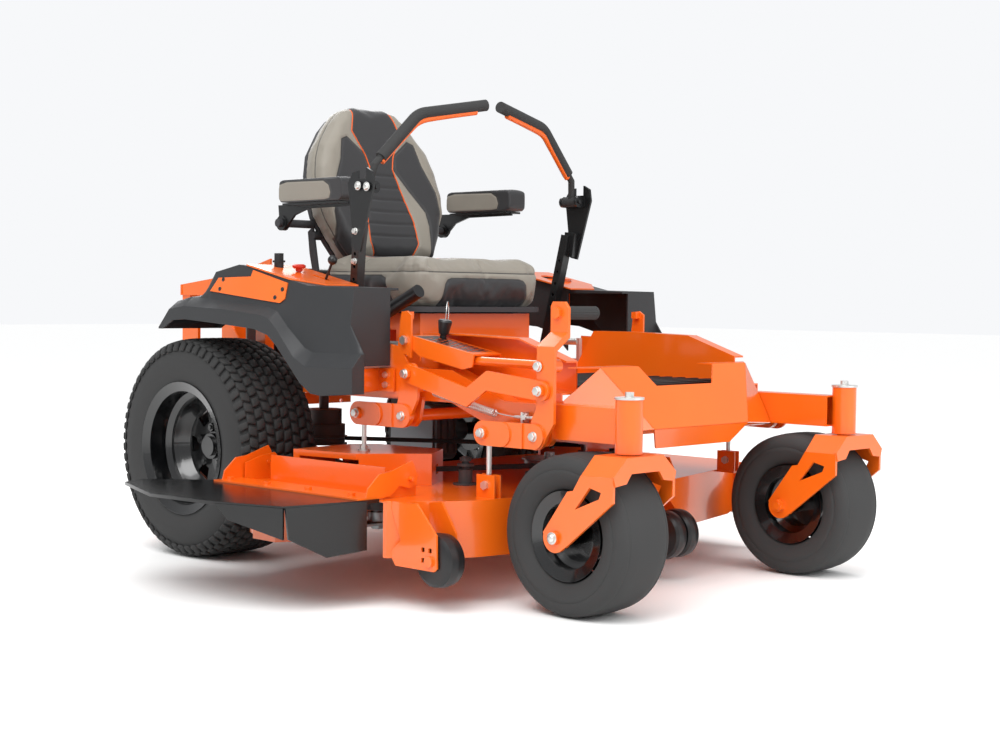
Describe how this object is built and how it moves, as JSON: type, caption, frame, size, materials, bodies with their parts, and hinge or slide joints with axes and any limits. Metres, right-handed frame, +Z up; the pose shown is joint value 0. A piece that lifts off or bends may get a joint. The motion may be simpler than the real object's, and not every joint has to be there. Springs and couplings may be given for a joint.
{
  "type": "zero turn mower",
  "caption": "Ride-on mower with drive wheels behind, swivel casters ahead, a side-discharge deck on a lift linkage, twin control levers and a padded seat.",
  "frame": {"origin": "middle of the machine's plan, on the ground", "axes": "+Z up, +Y towards the rear, so the operator faces -Y and sits with the right hand at -X"},
  "size_m": [1.685, 1.879, 1.2196],
  "materials": {
    "orange_paint": "gloss powder coat",
    "black_paint": "satin powder coat",
    "rim_black": "gloss paint",
    "zinc_plate": "zinc plated",
    "fender_plastic": "fine moulded grain",
    "knob_plastic": "moulded",
    "red_plastic": "moulded",
    "tyre_rubber": "rubber",
    "caster_rubber": "smooth rubber, dusty",
    "flap_rubber": "semi gloss",
    "belt_rubber": "matt",
    "grip_rubber": "matt",
    "roller_plastic": "moulded",
    "seat_vinyl": "grained vinyl",
    "arm_vinyl": "grained vinyl",
    "seat_shell_plastic": "textured",
    "engine_black": "satin paint",
    "drive_grey": "cast",
    "muffler_steel": "heat tinted",
    "cast_grey": "painted",
    "blade_steel": "ground edge",
    "wire_steel": "bright",
    "mat_rubber": "ribbed, matt"
  },
  "bodies": {
    "frame": {"main_frame": "orange_paint", "nose_plate": "orange_paint", "foot_mat": "mat_rubber", "seat_platform": "orange_paint", "fenders": "fender_plastic", "consoles": "orange_paint", "rear_guard": "orange_paint", "engine_block": "engine_black", "engine_shroud": "engine_black", "muffler": "muffler_steel", "hydro_drives": "drive_grey", "frame_hardware": "zinc_plate", "height_plate": "orange_paint", "lift_spring": "zinc_plate"},
    "pto": {"pto_pulley": "cast_grey"},
    "fork_right": {"caster_fork_right": "orange_paint"},
    "fork_left": {"caster_fork_left": "orange_paint"},
    "caster_right": {"caster_tyre_right": "caster_rubber", "caster_rim_right": "rim_black"},
    "caster_left": {"caster_tyre_left": "caster_rubber", "caster_rim_left": "rim_black"},
    "wheel_right": {"drive_tyre_right": "tyre_rubber", "drive_rim_right": "rim_black"},
    "wheel_left": {"drive_tyre_left": "tyre_rubber", "drive_rim_left": "rim_black"},
    "rear_crank": {"rear_lift_crank": "orange_paint"},
    "front_arm": {"front_lift_arm": "orange_paint", "foot_peg": "grip_rubber"},
    "link": {"link_bar": "orange_paint"},
    "rod": {"lift_rod": "orange_paint"},
    "deck": {"deck_shell": "orange_paint", "belt_covers": "orange_paint", "spindle_housings": "cast_grey", "deck_belt": "belt_rubber", "deck_hangers": "zinc_plate"},
    "spindle_right": {"blade_right": "blade_steel"},
    "spindle_centre": {"blade_centre": "blade_steel"},
    "spindle_left": {"blade_left": "blade_steel"},
    "roller_right": {"side_roller_right": "roller_plastic"},
    "roller_left": {"side_roller_left": "roller_plastic"},
    "roller_centre": {"centre_roller": "roller_plastic"},
    "chute": {"chute_bracket": "orange_paint", "chute_flap": "flap_rubber"},
    "lever_right": {"lever_post_right": "black_paint"},
    "lever_left": {"lever_post_left": "black_paint"},
    "hand_right": {"handle_right": "grip_rubber"},
    "hand_left": {"handle_left": "grip_rubber"},
    "brake": {"brake_lever": "knob_plastic"},
    "throttle": {"throttle_lever": "knob_plastic"},
    "pto_switch": {"pto_knob": "red_plastic"},
    "ignition": {"ignition_key": "knob_plastic"},
    "depth_pin": {"height_pin": "knob_plastic", "pin_lanyard": "wire_steel"},
    "seat": {"seat_shell": "seat_shell_plastic", "seat_cushion": "seat_vinyl", "seat_back": "seat_vinyl"},
    "arm_right": {"armrest_bracket_right": "black_paint", "armrest_pad_right": "arm_vinyl"},
    "arm_left": {"armrest_bracket_left": "black_paint", "armrest_pad_left": "arm_vinyl"}
  },
  "joints": [
    {"name": "caster_swivel_right", "type": "hinge", "parent": "frame", "child": "fork_right", "pos_m": [-0.2705, -0.8775, 0.415], "axis": [0, 0, 1], "continuous": true},
    {"name": "caster_roll_right", "type": "hinge", "parent": "fork_right", "child": "caster_right", "pos_m": [-0.2705, -0.7625, 0.177], "axis": [1, 0, 0], "continuous": true},
    {"name": "drive_spin_right", "type": "hinge", "parent": "frame", "child": "wheel_right", "pos_m": [-0.3305, 0.4795, 0.286], "axis": [1, 0, 0], "continuous": true},
    {"name": "lever_right", "type": "hinge", "parent": "frame", "child": "lever_right", "pos_m": [-0.2065, 0.0815, 0.478], "axis": [1, 0, 0], "range_deg": [-10, 15]},
    {"name": "swing_out_right", "type": "hinge", "parent": "lever_right", "child": "hand_right", "pos_m": [-0.2325, -0.0025, 0.955], "axis": [0, -1, 0], "range_deg": [0, 45]},
    {"name": "armrest_right", "type": "hinge", "parent": "seat", "child": "arm_right", "pos_m": [-0.1525, 0.4275, 0.88], "axis": [-1, 0, 0], "range_deg": [0, 85]},
    {"name": "caster_swivel_left", "type": "hinge", "parent": "frame", "child": "fork_left", "pos_m": [0.5655, -0.8775, 0.415], "axis": [0, 0, 1], "continuous": true},
    {"name": "caster_roll_left", "type": "hinge", "parent": "fork_left", "child": "caster_left", "pos_m": [0.5655, -0.7625, 0.177], "axis": [1, 0, 0], "continuous": true},
    {"name": "drive_spin_left", "type": "hinge", "parent": "frame", "child": "wheel_left", "pos_m": [0.6255, 0.4795, 0.286], "axis": [1, 0, 0], "continuous": true},
    {"name": "lever_left", "type": "hinge", "parent": "frame", "child": "lever_left", "pos_m": [0.5015, 0.0815, 0.478], "axis": [1, 0, 0], "range_deg": [-10, 15]},
    {"name": "swing_out_left", "type": "hinge", "parent": "lever_left", "child": "hand_left", "pos_m": [0.5275, -0.0025, 0.955], "axis": [0, 1, 0], "range_deg": [0, 45]},
    {"name": "armrest_left", "type": "hinge", "parent": "seat", "child": "arm_left", "pos_m": [0.4475, 0.4275, 0.88], "axis": [-1, 0, 0], "range_deg": [0, 85]},
    {"name": "pto_spin", "type": "hinge", "parent": "frame", "child": "pto", "pos_m": [0.1475, 0.6095, 0.3], "axis": [0, 0, 1], "continuous": true},
    {"name": "blade_spin_right", "type": "hinge", "parent": "deck", "child": "spindle_right", "pos_m": [-0.2775, -0.0955, 0.2], "axis": [0, 0, 1], "continuous": true},
    {"name": "blade_spin_centre", "type": "hinge", "parent": "deck", "child": "spindle_centre", "pos_m": [0.1475, -0.2755, 0.2], "axis": [0, 0, 1], "continuous": true},
    {"name": "blade_spin_left", "type": "hinge", "parent": "deck", "child": "spindle_left", "pos_m": [0.5725, -0.0955, 0.2], "axis": [0, 0, 1], "continuous": true},
    {"name": "side_roll_right", "type": "hinge", "parent": "deck", "child": "roller_right", "pos_m": [-0.4845, -0.5295, 0.114], "axis": [1, 0, 0], "continuous": true},
    {"name": "side_roll_left", "type": "hinge", "parent": "deck", "child": "roller_left", "pos_m": [0.7835, -0.4675, 0.114], "axis": [1, 0, 0], "continuous": true},
    {"name": "centre_roll", "type": "hinge", "parent": "deck", "child": "roller_centre", "pos_m": [0.2175, -0.6125, 0.114], "axis": [1, 0, 0], "continuous": true},
    {"name": "deck_lift", "type": "hinge", "parent": "frame", "child": "rear_crank", "pos_m": [0.1475, -0.2265, 0.404], "axis": [1, 0, 0], "range_deg": [-19, 8], "deforming": ["lift_spring"]},
    {"name": "front_arm_swing", "type": "hinge", "parent": "frame", "child": "front_arm", "pos_m": [0.1475, -0.6495, 0.382], "axis": [1, 0, 0], "range_deg": [-20, 9]},
    {"name": "link_swing", "type": "hinge", "parent": "front_arm", "child": "link", "pos_m": [-0.3195, -0.671, 0.483], "axis": [1, 0, 0], "range_deg": [-9, 20]},
    {"name": "rod_swing", "type": "hinge", "parent": "front_arm", "child": "rod", "pos_m": [-0.2645, -0.6585, 0.536], "axis": [1, 0, 0], "range_deg": [-9, 20]},
    {"name": "deck_swing", "type": "hinge", "parent": "rear_crank", "child": "deck", "pos_m": [0.1475, -0.0795, 0.404], "axis": [1, 0, 0], "range_deg": [-9, 20], "deforming": ["deck_belt"]},
    {"name": "chute_hinge", "type": "hinge", "parent": "deck", "child": "chute", "pos_m": [-0.4325, -0.1205, 0.276], "axis": [0, 1, 0], "range_deg": [0, 75]},
    {"name": "brake_lever_hinge", "type": "hinge", "parent": "frame", "child": "brake", "pos_m": [-0.1705, 0.1495, 0.556], "axis": [-1, 0, 0], "range_deg": [0, 25]},
    {"name": "throttle_hinge", "type": "hinge", "parent": "frame", "child": "throttle", "pos_m": [-0.3025, 0.0895, 0.694], "axis": [1, 0, 0], "range_deg": [-40, 12]},
    {"name": "pto_switch_pull", "type": "slide", "parent": "frame", "child": "pto_switch", "axis": [0, 0, 1], "range_m": [0, 0.012]},
    {"name": "ignition_turn", "type": "hinge", "parent": "frame", "child": "ignition", "pos_m": [-0.3345, 0.2175, 0.77], "axis": [0, 0, 1], "range_deg": [0, 90]},
    {"name": "height_pin_pull", "type": "slide", "parent": "frame", "child": "depth_pin", "axis": [0, -0.1788, 0.9839], "range_m": [0, 0.05]},
    {"name": "seat_slide", "type": "slide", "parent": "frame", "child": "seat", "axis": [0, 1, 0], "range_m": [-0.06, 0.06]}
  ],
  "couplings": [
    {"joint": "front_arm_swing", "follows": "deck_lift", "ratio": 1},
    {"joint": "link_swing", "follows": "deck_lift", "ratio": -1},
    {"joint": "rod_swing", "follows": "deck_lift", "ratio": -1},
    {"joint": "deck_swing", "follows": "deck_lift", "ratio": -1},
    {"joint": "blade_spin_right", "follows": "pto_spin", "ratio": 0.971},
    {"joint": "blade_spin_centre", "follows": "pto_spin", "ratio": 0.971},
    {"joint": "blade_spin_left", "follows": "pto_spin", "ratio": 0.971}
  ]
}
